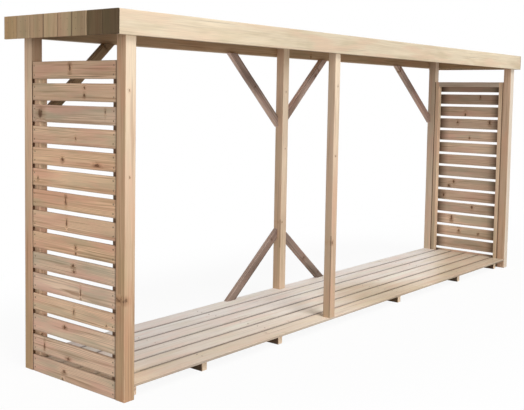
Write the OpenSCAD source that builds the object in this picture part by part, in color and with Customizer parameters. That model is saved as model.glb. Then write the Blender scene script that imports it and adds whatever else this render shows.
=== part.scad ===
// Open log store in planed, treated softwood: six square posts, slatted ends,
// a boarded floor on bearers, braces along the back and a flat boarded roof.
// The length runs along X, the open front faces -Y, the ground is z = 0 and the
// origin is under the middle of the roof.

/* [Posts] */
// Length over the outer faces of the corner posts
frame_l = 4800; // [4500:10:5400]
// Depth over the outer faces of the corner posts
frame_d = 850; // [700:5:1000]
// Height up to the undersides of the roof beams
post_h = 1889; // [1800:1:2100]
// Side of the square posts
post_w = 70; // [65:1:90]
// Side of the lighter front middle post
front_mid_w = 58; // [50:1:80]
// Left face of the front middle post, from the middle of the length
front_mid_x = -558; // [-650:1:150]
// Left face of the back middle post, from the middle of the length
back_mid_x = -118; // [-400:1:150]
// Easing of the long edges of posts, beams, bearers and braces
post_ease = 3; // [1:0.5:6]

/* [Floor] */
// Thickness of the floor boards
floor_t = 14; // [12:1:28]
// Gap between two floor boards
floor_gap = 12; // [4:1:14]
// Height of the bearers under the floor
bearer_h = 68; // [50:1:90]
// Width of the bearers
bearer_w = 45; // [38:1:60]
// Set-back of the bearers' ends from the front and back faces
bearer_in = 50; // [20:1:80]
// Space between the left corner posts and the first bearer
bearer_left_end = 14; // [10:1:90]
// Space between the last bearer and the right corner posts
bearer_right_end = 78; // [10:1:90]
// Step from the first bearer on the left to the second
bearer_left_step = 545; // [300:1:650]
// Middle of the third bearer, from the middle of the length
bearer_3_x = -1041; // [-1250:1:-700]
// Middle of the fourth bearer, from the middle of the length
bearer_4_x = 462; // [100:1:900]
// Step from the fifth bearer to the last on the right
bearer_right_step = 749; // [400:1:1000]

/* [End panels] */
// Height of the slatted end panels
panel_h = 1752; // [1620:2:1850]
// Number of slats in a panel
slat_n = 15; // [12:1:16]
// Width of a slat
slat_w = 95; // [85:1:98]
// Thickness of a slat
slat_t = 16; // [12:1:24]
// Set-back of the slats from the outer faces of the posts
slat_set = 2; // [1:1:10]
// Space between a slat's end and the post beside it
slat_end = 3; // [2:1:6]
// Width of the upright stiles behind the slats
stile_w = 45; // [35:1:60]
// Height of the panel's top and bottom rails
panel_rail_h = 45; // [35:1:60]
// Easing of the long edges of slats, boards and fascias
board_ease = 2; // [0.5:0.5:4]

/* [Braces] */
// Reach of a brace along the beam or the floor
brace_run = 575; // [450:5:620]
// Reach of the brace at the right back post along the beam
right_brace_run = 690; // [450:5:750]
// Reach of an upper brace down its post
brace_rise = 540; // [400:5:600]
// Reach of a lower brace up its post
low_brace_rise = 475; // [400:5:600]
// Width of a brace
brace_w = 58; // [45:1:70]
// Thickness of a brace
brace_t = 36; // [28:1:46]
// Reach of an upper brace behind the posts, under the back beam
brace_back = 10; // [5:1:20]

/* [Roof] */
// Width of the front beam and the end rails
beam_t = 45; // [44:1:60]
// Width of the back beam, which lies behind the back posts
back_beam_t = 48; // [38:1:60]
// Height of the roof beams
beam_h = 65; // [55:1:68]
// Reach of the beams past the corner posts
beam_over = 66; // [50:1:90]
// Height of the fascias and of the short boards at the ends
fascia_h = 125; // [122:1:140]
// Drop of the front fascia and the end boards below the beams
fascia_drop = 14; // [0:1:20]
// Thickness of the fascias
fascia_t = 28; // [20:1:32]
// Number of joists on the beams
joist_n = 7; // [5:1:9]
// Width of a joist
joist_w = 45; // [38:1:60]
// Height of a joist
joist_h = 28; // [22:1:31]
// Number of roof boards
roof_n = 8; // [7:1:9]
// Thickness of the roof boards
roof_t = 17; // [12:1:20]
// Joint between two roof boards
board_gap = 1.5; // [1:0.5:4]
// Number of short boards at each end of the roof
end_n = 8; // [7:1:9]
// Thickness of the short boards at the ends
end_t = 12; // [10:1:25]
// Joint between two short boards at the ends
end_gap = 3; // [1:0.5:5]

/* [Hidden] */
// Outer faces of the corner posts, to the left and right
left_x = -frame_l / 2;
right_x = frame_l / 2;
// Inner faces of the corner posts
left_in = left_x + post_w;
right_in = right_x - post_w;
// Depth of the whole roof, and its front and back faces
roof_d = frame_d + back_beam_t + 2 * fascia_t;
roof_front = -roof_d / 2;
roof_back = roof_d / 2;
// Front and back faces of the posts
front_y = roof_front + fascia_t;
back_y = front_y + frame_d;
// Inside faces of the fascias
inner_front = front_y;
inner_back = roof_back - fascia_t;
// Number of floor boards
floor_n = 6;
// Top of the floor boards
floor_z = bearer_h + floor_t;
// Width of one floor board
floor_w = (frame_d - (floor_n - 1) * floor_gap) / floor_n;
// Ends of the beams and outer faces of the end boards
beam_x = right_x + beam_over;
roof_x = beam_x + end_t;
// Undersides of the front fascia, the joists and the roof boards
fascia_z = post_h - fascia_drop;
joist_z = post_h + beam_h;
board_z = joist_z + joist_h;
// Widths of one roof board and of one end board
inner_d = inner_back - inner_front;
roof_w = (inner_d - (roof_n - 1) * board_gap) / roof_n;
end_w = (roof_d - (end_n - 1) * end_gap) / end_n;
// Step from one slat to the next
slat_step = (panel_h - slat_w) / (slat_n - 1);
// Thickness of the stiles and panel rails, up to the posts' inner faces
stile_t = post_w - slat_set - slat_t;
// Reach of the floor boards that lie clear of the stiles, past the posts to the slats
floor_clear = floor_w + floor_gap >= post_w + stile_w && bearer_h >= panel_rail_h;
floor_reach = floor_clear ? stile_t : 0;
// Middles of the bearers that follow the ends
bearer_1_x = left_in + bearer_left_end + bearer_w / 2;
bearer_2_x = bearer_1_x + bearer_left_step;
bearer_6_x = right_in - bearer_right_end - bearer_w / 2;
bearer_5_x = bearer_6_x - bearer_right_step;
// Right face of the back middle post
back_mid_r = back_mid_x + post_w;

// Section of planed timber, w by h, with its four edges eased
module section(w, h, ease) {
  polygon([
    [ease, 0], [w - ease, 0], [w, ease], [w, h - ease],
    [w - ease, h], [ease, h], [0, h - ease], [0, ease]
  ]);
}

// Timber along X, Y or Z, with its lowest corner at a point and its size over all
module timber_x(at, size, ease) {
  translate(at)
    rotate([90, 0, 90])
      linear_extrude(height = size[0])
        section(size[1], size[2], ease);
}

module timber_y(at, size, ease) {
  translate([at[0], at[1] + size[1], at[2]])
    rotate([90, 0, 0])
      linear_extrude(height = size[1])
        section(size[0], size[2], ease);
}

module timber_z(at, size, ease) {
  translate(at)
    linear_extrude(height = size[2])
      section(size[0], size[1], ease);
}

// A square post of side w with its left front corner at x, y, from height z up to top
module post(x, y, z, w, top) {
  color([0.80, 0.66, 0.49])
    timber_z([x, y, z], [w, w, top - z], post_ease);
}

// A post under the front beam
module front_post(x, z, w) {
  post(x, front_y, z, w, post_h);
}

// A post in front of the back beam, up to its top
module back_post(x, z) {
  post(x, back_y - post_w, z, post_w, joist_z);
}

module front_left_post() {
  front_post(left_x, 0, post_w);
}

module front_right_post() {
  front_post(right_in, 0, post_w);
}

module back_left_post() {
  back_post(left_x, 0);
}

module back_right_post() {
  back_post(right_in, 0);
}

module front_middle_post() {
  front_post(front_mid_x, floor_z, front_mid_w);
}

module back_middle_post() {
  back_post(back_mid_x, floor_z);
}

// A roof beam of width t with its front face at y
module beam(y, t) {
  color([0.62, 0.49, 0.34])
    timber_x([-beam_x, y, post_h], [2 * beam_x, t, beam_h], post_ease);
}

module front_beam() {
  beam(front_y, beam_t);
}

module back_beam() {
  beam(back_y, back_beam_t);
}

// A rail between the two beams with its left face at x
module end_rail(x) {
  color([0.62, 0.49, 0.34])
    timber_y([x, front_y + beam_t, post_h], [beam_t, frame_d - beam_t, beam_h], post_ease);
}

module left_end_rail() {
  end_rail(-beam_x);
}

module right_end_rail() {
  end_rail(beam_x - beam_t);
}

module roof_joists() {
  step = (2 * beam_x - joist_w) / (joist_n - 1);
  color([0.62, 0.49, 0.34])
    for (i = [0 : joist_n - 1])
      timber_y([-beam_x + i * step, inner_front, joist_z], [joist_w, inner_d, joist_h], post_ease);
}

module roof_boards() {
  color([0.72, 0.58, 0.42])
    for (i = [0 : roof_n - 1])
      timber_x([-beam_x, inner_front + i * (roof_w + board_gap), board_z],
               [2 * beam_x, roof_w, roof_t], board_ease);
}

// A fascia between the end boards, with its front face at y and its underside at z
module fascia(y, z) {
  color([0.86, 0.76, 0.61])
    timber_x([-beam_x, y, z], [2 * beam_x, fascia_t, fascia_z + fascia_h - z], board_ease);
}

module front_fascia() {
  fascia(roof_front, fascia_z);
}

module back_fascia() {
  fascia(inner_back, post_h);
}

// The short upright boards across one end of the roof and of the fascias, left faces at x
module end_boards(x) {
  color([0.68, 0.57, 0.43])
    for (i = [0 : end_n - 1])
      timber_z([x, roof_front + i * (end_w + end_gap), fascia_z],
               [end_t, end_w, fascia_h], board_ease);
}

module left_end_boards() {
  end_boards(-roof_x);
}

module right_end_boards() {
  end_boards(beam_x);
}

// The slats of one end panel, left faces at x
module slats(x) {
  color([0.72, 0.58, 0.44])
    for (i = [0 : slat_n - 1])
      timber_y([x, front_y + post_w + slat_end, i * slat_step],
               [slat_t, frame_d - 2 * post_w - 2 * slat_end, slat_w], board_ease);
}

module left_slats() {
  slats(left_x + slat_set);
}

module right_slats() {
  slats(right_x - slat_set - slat_t);
}

// An upright stile beside a post, left front corner at x, y
module stile(x, y) {
  color([0.66, 0.53, 0.39])
    timber_z([x, y, 0], [stile_t, stile_w, panel_h], board_ease);
}

module left_front_stile() {
  stile(left_in - stile_t, front_y + post_w);
}

module left_back_stile() {
  stile(left_in - stile_t, back_y - post_w - stile_w);
}

module right_front_stile() {
  stile(right_in, front_y + post_w);
}

module right_back_stile() {
  stile(right_in, back_y - post_w - stile_w);
}

// A rail between the stiles of a panel, left face at x and underside at z
module panel_rail(x, z) {
  color([0.66, 0.53, 0.39])
    timber_y([x, front_y + post_w + stile_w, z],
             [stile_t, frame_d - 2 * post_w - 2 * stile_w, panel_rail_h], board_ease);
}

module left_top_rail() {
  panel_rail(left_in - stile_t, panel_h - panel_rail_h);
}

module right_top_rail() {
  panel_rail(right_in, panel_h - panel_rail_h);
}

module left_bottom_rail() {
  panel_rail(left_in - stile_t, 0);
}

module right_bottom_rail() {
  panel_rail(right_in, 0);
}

// Floor board number i, counted from the front
module floor_board(i) {
  reach = i == 0 || i == floor_n - 1 ? 0 : floor_reach;
  color([0.84, 0.77, 0.68])
    timber_x([left_in - reach, front_y + i * (floor_w + floor_gap), bearer_h],
             [right_in - left_in + 2 * reach, floor_w, floor_t], board_ease);
}

module floor_board_1() {
  floor_board(0);
}

module floor_board_2() {
  floor_board(1);
}

module floor_board_3() {
  floor_board(2);
}

module floor_board_4() {
  floor_board(3);
}

module floor_board_5() {
  floor_board(4);
}

module floor_board_6() {
  floor_board(5);
}

// A bearer across the floor with its middle at x
module bearer(x) {
  color([0.66, 0.54, 0.40])
    timber_y([x - bearer_w / 2, front_y + bearer_in, 0],
             [bearer_w, frame_d - 2 * bearer_in, bearer_h], post_ease);
}

module bearer_1() {
  bearer(bearer_1_x);
}

module bearer_2() {
  bearer(bearer_2_x);
}

module bearer_3() {
  bearer(bearer_3_x);
}

module bearer_4() {
  bearer(bearer_4_x);
}

module bearer_5() {
  bearer(bearer_5_x);
}

module bearer_6() {
  bearer(bearer_6_x);
}

// A brace across the corner at x, z: side is 1 or -1 along X, lift is 1 or -1 up.
// Timber laid along the slope is cut off flush with the post and the beam or floor.
// Upper braces reach back under the beam, lower ones are flush with the posts.
module brace(x, z, side, lift, run, rise) {
  slope = atan2(rise, run);
  long = norm([run, rise]) + 2 * brace_w;
  color([0.58, 0.46, 0.35])
    translate([x, back_y + (lift < 0 ? brace_back : 0), z])
      mirror([side < 0 ? 1 : 0, 0, 0])
        mirror([0, 0, lift < 0 ? 1 : 0])
          intersection() {
            translate([0, -2 * brace_t, 0])
              cube([run + brace_w, 3 * brace_t, rise + brace_w]);
            translate([run, -brace_t, 0])
              rotate([0, slope - 180, 0])
                timber_x([-brace_w, 0, 0], [long, brace_t, brace_w], post_ease);
          }
}

module left_brace() {
  brace(left_in, post_h, 1, -1, brace_run, brace_rise);
}

module middle_upper_left_brace() {
  brace(back_mid_x, post_h, -1, -1, brace_run, brace_rise);
}

module middle_upper_right_brace() {
  brace(back_mid_r, post_h, 1, -1, brace_run, brace_rise);
}

module middle_lower_left_brace() {
  brace(back_mid_x, floor_z, -1, 1, brace_run, low_brace_rise);
}

module middle_lower_right_brace() {
  brace(back_mid_r, floor_z, 1, 1, brace_run, low_brace_rise);
}

module right_brace() {
  brace(right_in, post_h, -1, -1, right_brace_run, brace_rise);
}

front_left_post();
front_right_post();
back_left_post();
back_right_post();
front_middle_post();
back_middle_post();
front_beam();
back_beam();
left_end_rail();
right_end_rail();
roof_joists();
roof_boards();
front_fascia();
back_fascia();
left_end_boards();
right_end_boards();
left_slats();
right_slats();
left_front_stile();
left_back_stile();
right_front_stile();
right_back_stile();
left_top_rail();
right_top_rail();
left_bottom_rail();
right_bottom_rail();
floor_board_1();
floor_board_2();
floor_board_3();
floor_board_4();
floor_board_5();
floor_board_6();
bearer_1();
bearer_2();
bearer_3();
bearer_4();
bearer_5();
bearer_6();
left_brace();
middle_upper_left_brace();
middle_upper_right_brace();
middle_lower_left_brace();
middle_lower_right_brace();
right_brace();
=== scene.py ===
import math
import random
from collections import namedtuple

import bpy
import numpy as np
from mathutils import Matrix, Vector


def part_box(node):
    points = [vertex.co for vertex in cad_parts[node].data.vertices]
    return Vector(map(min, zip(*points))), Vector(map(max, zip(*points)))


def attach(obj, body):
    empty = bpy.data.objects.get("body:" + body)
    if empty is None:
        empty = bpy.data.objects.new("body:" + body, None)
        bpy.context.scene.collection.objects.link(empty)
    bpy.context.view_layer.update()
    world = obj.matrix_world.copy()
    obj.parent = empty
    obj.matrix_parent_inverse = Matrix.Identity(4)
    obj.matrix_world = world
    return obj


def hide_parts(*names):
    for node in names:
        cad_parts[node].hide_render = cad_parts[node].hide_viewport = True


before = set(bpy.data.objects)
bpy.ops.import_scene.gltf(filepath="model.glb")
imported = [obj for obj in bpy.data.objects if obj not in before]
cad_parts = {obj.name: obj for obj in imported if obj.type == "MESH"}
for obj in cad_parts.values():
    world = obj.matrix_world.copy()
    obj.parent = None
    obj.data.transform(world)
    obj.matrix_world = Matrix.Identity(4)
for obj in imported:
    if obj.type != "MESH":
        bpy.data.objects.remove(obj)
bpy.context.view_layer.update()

X_AXIS, Y_AXIS, Z_AXIS = Vector((1, 0, 0)), Vector((0, 1, 0)), Vector((0, 0, 1))
SEED = 4711

# Photograph's frame and camera, from the perspective of the posts, slats and roof
IMAGE_W, IMAGE_H = 524, 410
FOCAL_PX, CENTRE_Y_PX = 839.671, 158.192
CAMERA_AT = (-5.2191, -3.6375, 1.5812)
YAW, PITCH, ROLL = math.radians(50.7479), math.radians(4.2035), math.radians(0.9833)
SENSOR_W, CAMERA_REACH = 36.0, 200


def srgb(r, g, b):
    """Linear colour of an 8-bit screen colour."""
    out = []
    for v in (r, g, b):
        v /= 255
        out.append(v / 12.92 if v <= 0.04045 else ((v + 0.055) / 1.055) ** 2.4)
    return tuple(out)


# Mesh building: lengths in metres

CORNER_STEPS = 3          # faces round each eased edge
ARC_END_WEAR_AND_HIGHLIGHT = 0.55       # paler edge, wear and painted highlight, where the rounding meets the flat, against 1 on the rounding
STRIP = 0.007             # flat strip beside each eased edge, at most this share of the side
STRIP_SHARE = 0.25
END_CHIP = 0.0012         # worn rim at a board's ends
BOW = 0.0006              # how far each wave bends a board
BOW_WAVES = (0.5, 2.2)    # waves along a board
NEAR_TURN = 6.3           # about a full turn
GRAIN_RUN = 40            # how far apart along the grain two boards can be cut
PITH_ACROSS = 0.09        # the pith's place across a board and behind or before it
PITH_DEPTH = (0.015, 0.11)
EASE_DARK = 0.75          # darkness of an eased edge, in parts of its narrow side's
ON_SIDE = 1e-6
SPACING, SLAT_SPACING, BRACE_SPACING = 0.11, 0.035, 0.06    # points along a board
SMOOTH_BELOW, SCREW_SMOOTH_BELOW = 40, 35                   # degrees between faces

CLEAN = (0.0, 0.0)        # neither side dark
KNOT_KEYS = ("knot_a", "knot_b", "knot_c")
NO_KNOT = (-90.0, 0.0, 0.01, 0.01)
NO_KNOTS = [NO_KNOT] * len(KNOT_KEYS)


def section_loop(w, t, ease, strip):
    """Rounded rectangle w by t as (u, v, edge) points; edge is 1 on the rounded corners."""
    pts = []
    su, sv = w / 2 - ease, t / 2 - ease
    wide, thin = min(strip, w * STRIP_SHARE), min(strip, t * STRIP_SHARE)
    for k, (cu, cv) in enumerate(((1, 1), (-1, 1), (-1, -1), (1, -1))):
        arc = []
        for i in range(CORNER_STEPS + 1):
            ang = k * math.pi / 2 + i * math.pi / 2 / CORNER_STEPS
            edge = 1.0 if 0 < i < CORNER_STEPS else ARC_END_WEAR_AND_HIGHLIGHT
            arc.append((cu * su + ease * math.cos(ang), cv * sv + ease * math.sin(ang), edge))
        first, last = arc[0], arc[-1]
        if k % 2 == 0:
            before = (first[0], first[1] - cv * thin, 0.0)
            after = (last[0] - cu * wide, last[1], 0.0)
        else:
            before = (first[0] - cu * wide, first[1], 0.0)
            after = (last[0], last[1] - cv * thin, 0.0)
        pts += [before] + arc + [after]
    return pts


class Look:
    """How one board looks.

    tone and knots pick the board's own, shade changes the tone from place to place, in places with painted
    light and painted shade, and painted_shade darkens faces where shade falls in gaps, corners and recesses.
    narrow is how dark the two narrow sides are and rim the strips beside them, a painted shade along the gaps
    on the slats and floor boards, strip is the width of these, end is how dark the end grain is, and tip is
    how far from the ends the shade changes.
    """

    def __init__(self, tone, knots, shade=None, painted_shade=None, narrow=CLEAN, rim=CLEAN, strip=STRIP, end=1.0,
                 tip=0.0):
        self.tone, self.knots, self.shade, self.painted_shade = tone, knots, shade, painted_shade
        self.narrow, self.rim, self.strip, self.end, self.tip = narrow, rim, strip, end, tip


class Pieces:
    """Collects boards or screws into one mesh, with the attributes that the wood material reads."""

    def __init__(self):
        self.verts, self.faces = [], []
        self.grain, self.edge, self.tone = [], [], []
        self.end, self.narrow, self.slot = [], [], []
        self.knots = [[] for _ in KNOT_KEYS]

    def point(self, at, grain, tone, edge=0.0, knots=NO_KNOTS):
        self.verts.append(at)
        self.grain.append(grain)
        self.tone.append(tone)
        self.edge.append(edge)
        for column, knot in zip(self.knots, knots):
            column.append(knot)

    def face(self, idx, end=0.0, narrow=0.0, slot=0):
        self.faces.append(idx)
        self.end.append(end)
        self.narrow.append(narrow)
        self.slot.append(slot)

    def board(self, at, axes, size, cuts, rng, look, ease, spacing):
        """One board: at is its middle, axes run along, across and through it, cuts are its end planes."""
        a, b, c = axes
        w, t = size
        full = section_loop(w, t, ease, look.strip)
        chip = min(END_CHIP, ease * 0.5)
        inset = [(u * (1 - 2 * chip / w), v * (1 - 2 * chip / t), e) for u, v, e in full]

        def reach(u, v, cut):
            """How far along the board an end plane is, at a point of the section."""
            p, n = cut
            return (p - (at + b * u + c * v)).dot(n) / a.dot(n)

        def outward(u, v):
            """Outward direction of the side that a point of the section is on."""
            return b * math.copysign(1, u) if abs(u) * t >= abs(v) * w else c * math.copysign(1, v)

        def darkness(u):
            """Darkness of a face by its place across the board."""
            side, back = 0 if u < 0 else 1, w / 2 - abs(u)
            if back > ease:
                return look.rim[side] if back < w * STRIP_SHARE else 0.0
            return look.narrow[side] * (1.0 if back < ON_SIDE else EASE_DARK)

        length = abs(reach(0, 0, cuts[1]) - reach(0, 0, cuts[0]))
        waves = [(rng.uniform(*BOW_WAVES), rng.uniform(0, NEAR_TURN), rng.uniform(-BOW, BOW))
                 for _ in range(4)]
        shift = (rng.uniform(0, GRAIN_RUN), rng.uniform(-PITH_ACROSS, PITH_ACROSS),
                 rng.choice((-1, 1)) * rng.uniform(*PITH_DEPTH))
        tone = look.tone(rng)
        knots = [(k[0] + shift[0], k[1] + shift[1], k[2], k[3]) for k in look.knots(rng, length, w)]
        knots = (knots + NO_KNOTS)[:len(KNOT_KEYS)]

        steps = max(2, round(length / spacing))
        stations = [i / steps for i in range(1, steps)]
        if look.tip:
            stations = [look.tip / length, *stations, 1 - look.tip / length]
        rings = [(inset, 0.0, 0.0), (full, 0.0, chip), *((full, f, 0.0) for f in stations),
                 (full, 1.0, -chip), (inset, 1.0, 0.0)]
        base, count = len(self.verts), len(full)
        for loop, f, nudge in rings:
            swell = 4 * f * (1 - f)
            du, dv = (swell * sum(k * math.sin(q * f * NEAR_TURN + p) for q, p, k in pair)
                      for pair in (waves[:2], waves[2:]))
            for u, v, edge in loop:
                s0, s1 = reach(u, v, cuts[0]), reach(u, v, cuts[1])
                s = s0 + (s1 - s0) * f + nudge
                p = at + a * s + b * (u + du) + c * (v + dv)
                here = look.shade(tone, p, outward(u, v)) if look.shade else tone
                self.point(p, (s + shift[0], u + shift[1], v + shift[2]), here, edge, knots)

        flip = a.cross(b).dot(c) < 0
        for r in range(len(rings) - 1):
            for i in range(count):
                j = (i + 1) % count
                q = [base + r * count + i, base + r * count + j,
                     base + (r + 1) * count + j, base + (r + 1) * count + i]
                u, v = (full[i][0] + full[j][0]) / 2, (full[i][1] + full[j][1]) / 2
                dark = darkness(u)
                if look.painted_shade:
                    middle = (self.verts[q[0]] + self.verts[q[2]]) / 2
                    dark = max(dark, look.painted_shade(middle, outward(u, v)))
                self.face(q[::-1] if flip else q, narrow=dark)
        for start, turned in ((base, not flip), (base + (len(rings) - 1) * count, flip)):
            cap = list(range(start, start + count))
            self.face(cap[::-1] if turned else cap, end=look.end)

    def build(self, name, materials, smooth=SMOOTH_BELOW):
        """The mesh as an object, smooth where its faces meet at less than an angle."""
        mesh = bpy.data.meshes.new(name)
        mesh.from_pydata([tuple(v) for v in self.verts], [], self.faces)
        for material in materials:
            mesh.materials.append(material)
        mesh.polygons.foreach_set("material_index", self.slot)
        mesh.polygons.foreach_set("use_smooth", [True] * len(self.faces))
        mesh.set_sharp_from_angle(angle=math.radians(smooth))
        colours = [("tone", self.tone), *zip(KNOT_KEYS, self.knots)]
        for key, kind, domain, field, values in (
                ("grain", "FLOAT_VECTOR", "POINT", "vector", self.grain),
                ("edge", "FLOAT", "POINT", "value", self.edge),
                *((key, "FLOAT_COLOR", "POINT", "color", values) for key, values in colours),
                ("endgrain", "FLOAT", "FACE", "value", self.end),
                ("narrow", "FLOAT", "FACE", "value", self.narrow)):
            layer = mesh.attributes.new(key, kind, domain)
            layer.data.foreach_set(field, np.array(values, float).ravel())
        mesh.validate()
        mesh.update()
        obj = bpy.data.objects.new(name, mesh)
        bpy.context.scene.collection.objects.link(obj)
        return obj


def islands(node):
    """The separate solids of a node, each as an array of its points."""
    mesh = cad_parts[node].data
    pts = [tuple(round(x, 5) for x in v.co) for v in mesh.vertices]
    parent = {p: p for p in pts}

    def root(p):
        while parent[p] != p:
            parent[p] = parent[parent[p]]
            p = parent[p]
        return p

    for poly in mesh.polygons:
        idx = list(poly.vertices)
        for i in idx[1:]:
            parent[root(pts[i])] = root(pts[idx[0]])
    groups = {}
    for p in parent:
        groups.setdefault(root(p), []).append(p)
    solids = [np.array(sorted(g)) for g in groups.values()]
    return sorted(solids, key=lambda g: tuple(np.round(g.mean(0), 4)))


def straight(pts):
    """Middle, axes, section and end planes of a solid that lies along X, Y or Z."""
    lo, hi = Vector(pts.min(0)), Vector(pts.max(0))
    size = hi - lo
    order = sorted(range(3), key=lambda i: -size[i])
    unit = (X_AXIS, Y_AXIS, Z_AXIS)
    a, b, c = (unit[i] for i in order)
    return (lo + hi) / 2, (a, b, c), (size[order[1]], size[order[2]]), ((lo, a), (hi, a))


def sloping(pts, side, lift):
    """The same for a brace whose post is to one side and whose beam or floor is above or below."""
    lo, hi = Vector(pts.min(0)), Vector(pts.max(0))
    post_x, far_x = (lo.x, hi.x) if side > 0 else (hi.x, lo.x)
    seat_z, far_z = (lo.z, hi.z) if lift > 0 else (hi.z, lo.z)
    mid_y = (lo.y + hi.y) / 2
    top, foot = Vector((far_x, mid_y, seat_z)), Vector((post_x, mid_y, far_z))
    a = (top - foot).normalized()
    b = a.cross(Y_AXIS)
    if b.dot(Vector((post_x, mid_y, seat_z)) - top) < 0:
        b = -b
    width = max(b.dot(Vector(p) - top) for p in pts)
    mid = (top + foot) / 2 + b * (width / 2)
    return mid, (a, b, Y_AXIS), (width, hi.y - lo.y), ((foot, X_AXIS), (top, Z_AXIS))


# Materials

WHITE = (1.0, 1.0, 1.0, 1.0)
# Noise in the wood: waves a metre along and across the grain
FIBRES, STREAKS, LINES = (6.0, 240.0), (1.3, 38.0), (1.7, 80.0)
PALE_PLACES, STAINS = (1.2, 9.0), (2.4, 13.0)
PITH_DRIFT, RING_FUZZ = (0.35, 2.5), (2.2, 42.0)
CHECKS, CHECK_PLACES = (0.9, 120.0), (1.3, 9.0)
# Noise in and round knots, the same in all directions
KNOT_RAGGED, KNOT_BITS = 60.0, 150.0
# How far noise moves knots, the pith and the rings, and knots the rings, in metres
KNOT_SHIFT, PITH_SHIFT, RING_SHIFT, KNOT_PUSH = (0.022, 0.030, 0.0), (0.0, 0.06, 0.06), 0.008, 0.004
# What a colour is multiplied by
LINE_TINT, WARM_TINT, GREY_TINT = (0.60, 0.52, 0.46), (1.0, 0.90, 0.76), (0.93, 0.98, 1.07)
HALO_TINT, END_TINT, NARROW_TINT = (0.84, 0.64, 0.50), (0.66, 0.54, 0.44), (0.12, 0.078, 0.055)
# Colours that all the wood shares
CREAM, CHECK_BROWN, TAIL_BROWN = srgb(236, 219, 194), srgb(84, 60, 42), srgb(112, 80, 58)
KNOT_BROWN, KNOT_DARK = srgb(116, 78, 54), srgb(70, 46, 32)
# How strongly each shows at most
STREAK_SHARE, PALE_SHARE, BLEACH_SHARE, HALO_SHARE, TAIL_SHARE = 0.60, 0.5, 0.85, 0.40, 0.5
CHECK_SHARE, END_SHARE = 0.6, 0.55
# Relief: fibres and late wood stand up, checks and knots lie lower
FIBRE_HIGH, LATE_HIGH, CHECK_LOW, KNOT_LOW = 0.55, 0.25, 1.2, 0.3
WOOD_GLOSS, BUMP_STRENGTH, BUMP_HEIGHT = 0.12, 0.35, 0.0012


class Nodes:
    """Short names for making and linking the nodes of one material or world."""

    def __init__(self, owner):
        owner.use_nodes = True
        self.owner, self.tree = owner, owner.node_tree
        self.tree.nodes.clear()

    def put(self, socket, v):
        if isinstance(v, bpy.types.NodeSocket):
            self.tree.links.new(v, socket)
        else:
            socket.default_value = v

    def node(self, kind, **inputs):
        n = self.tree.nodes.new(kind)
        for k, v in inputs.items():
            self.put(n.inputs[k.replace("_", " ")], v)
        return n

    def math(self, op, x, y=0.0, z=0.0):
        n = self.tree.nodes.new("ShaderNodeMath")
        n.operation = op
        for i, v in enumerate((x, y, z)):
            self.put(n.inputs[i], v)
        return n.outputs[0]

    def vec(self, op, x, y=(0, 0, 0)):
        n = self.tree.nodes.new("ShaderNodeVectorMath")
        n.operation = op
        self.put(n.inputs[0], x)
        self.put(n.inputs[1], y)
        return n.outputs["Value"] if op == "LENGTH" else n.outputs[0]

    def span(self, x, lo, hi, a=0.0, b=1.0, smooth=True):
        """From a at lo to b at hi, and no further."""
        n = self.tree.nodes.new("ShaderNodeMapRange")
        n.interpolation_type = "SMOOTHSTEP" if smooth else "LINEAR"
        for k, v in (("Value", x), ("From Min", lo), ("From Max", hi), ("To Min", a), ("To Max", b)):
            self.put(n.inputs[k], v)
        return n.outputs[0]

    def mix(self, f, a, b, how="MIX"):
        """Colour a where f is 0, b where it is 1."""
        n = self.tree.nodes.new("ShaderNodeMix")
        n.data_type, n.blend_type = "RGBA", how
        self.put(n.inputs[0], f)
        for socket, v in ((n.inputs[6], a), (n.inputs[7], b)):
            self.put(socket, v if isinstance(v, bpy.types.NodeSocket) else (*v, 1.0))
        return n.outputs[2]

    def tinted(self, f, col, tint):
        """Colour as it is where f is 0, times a tint where it is 1."""
        return self.mix(f, col, self.mix(1.0, col, tint, "MULTIPLY"))

    def times(self, col, gain):
        """Colour times a number."""
        grey = self.node("ShaderNodeCombineColor", Red=gain, Green=gain, Blue=gain)
        return self.mix(1.0, col, grey.outputs[0], "MULTIPLY")

    def noise(self, vector, scale, detail, rough=0.5):
        return self.node("ShaderNodeTexNoise", Vector=vector, Scale=scale, Detail=detail, Roughness=rough)

    def attr(self, name):
        n = self.tree.nodes.new("ShaderNodeAttribute")
        n.attribute_name = name
        return n

    def seen(self):
        """1 for the rays that show the surround, also in metal and glass, 0 for those that light the part."""
        path = self.node("ShaderNodeLightPath").outputs
        seen = self.math("MAXIMUM", path["Is Camera Ray"], path["Is Glossy Ray"])
        return self.math("MAXIMUM", seen, path["Is Transmission Ray"])

    def either(self, f, a, b):
        """Shader a where f is 0, b where it is 1."""
        n = self.tree.nodes.new("ShaderNodeMixShader")
        for socket, v in zip(n.inputs, (f, a, b)):
            self.put(socket, v)
        return n.outputs[0]

    def output(self, kind, shader):
        self.put(self.tree.nodes.new(kind).inputs[0], shader)
        return self.owner

    def finish(self, **inputs):
        bsdf = self.node("ShaderNodeBsdfPrincipled", **inputs)
        return self.output("ShaderNodeOutputMaterial", bsdf.outputs[0])


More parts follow.
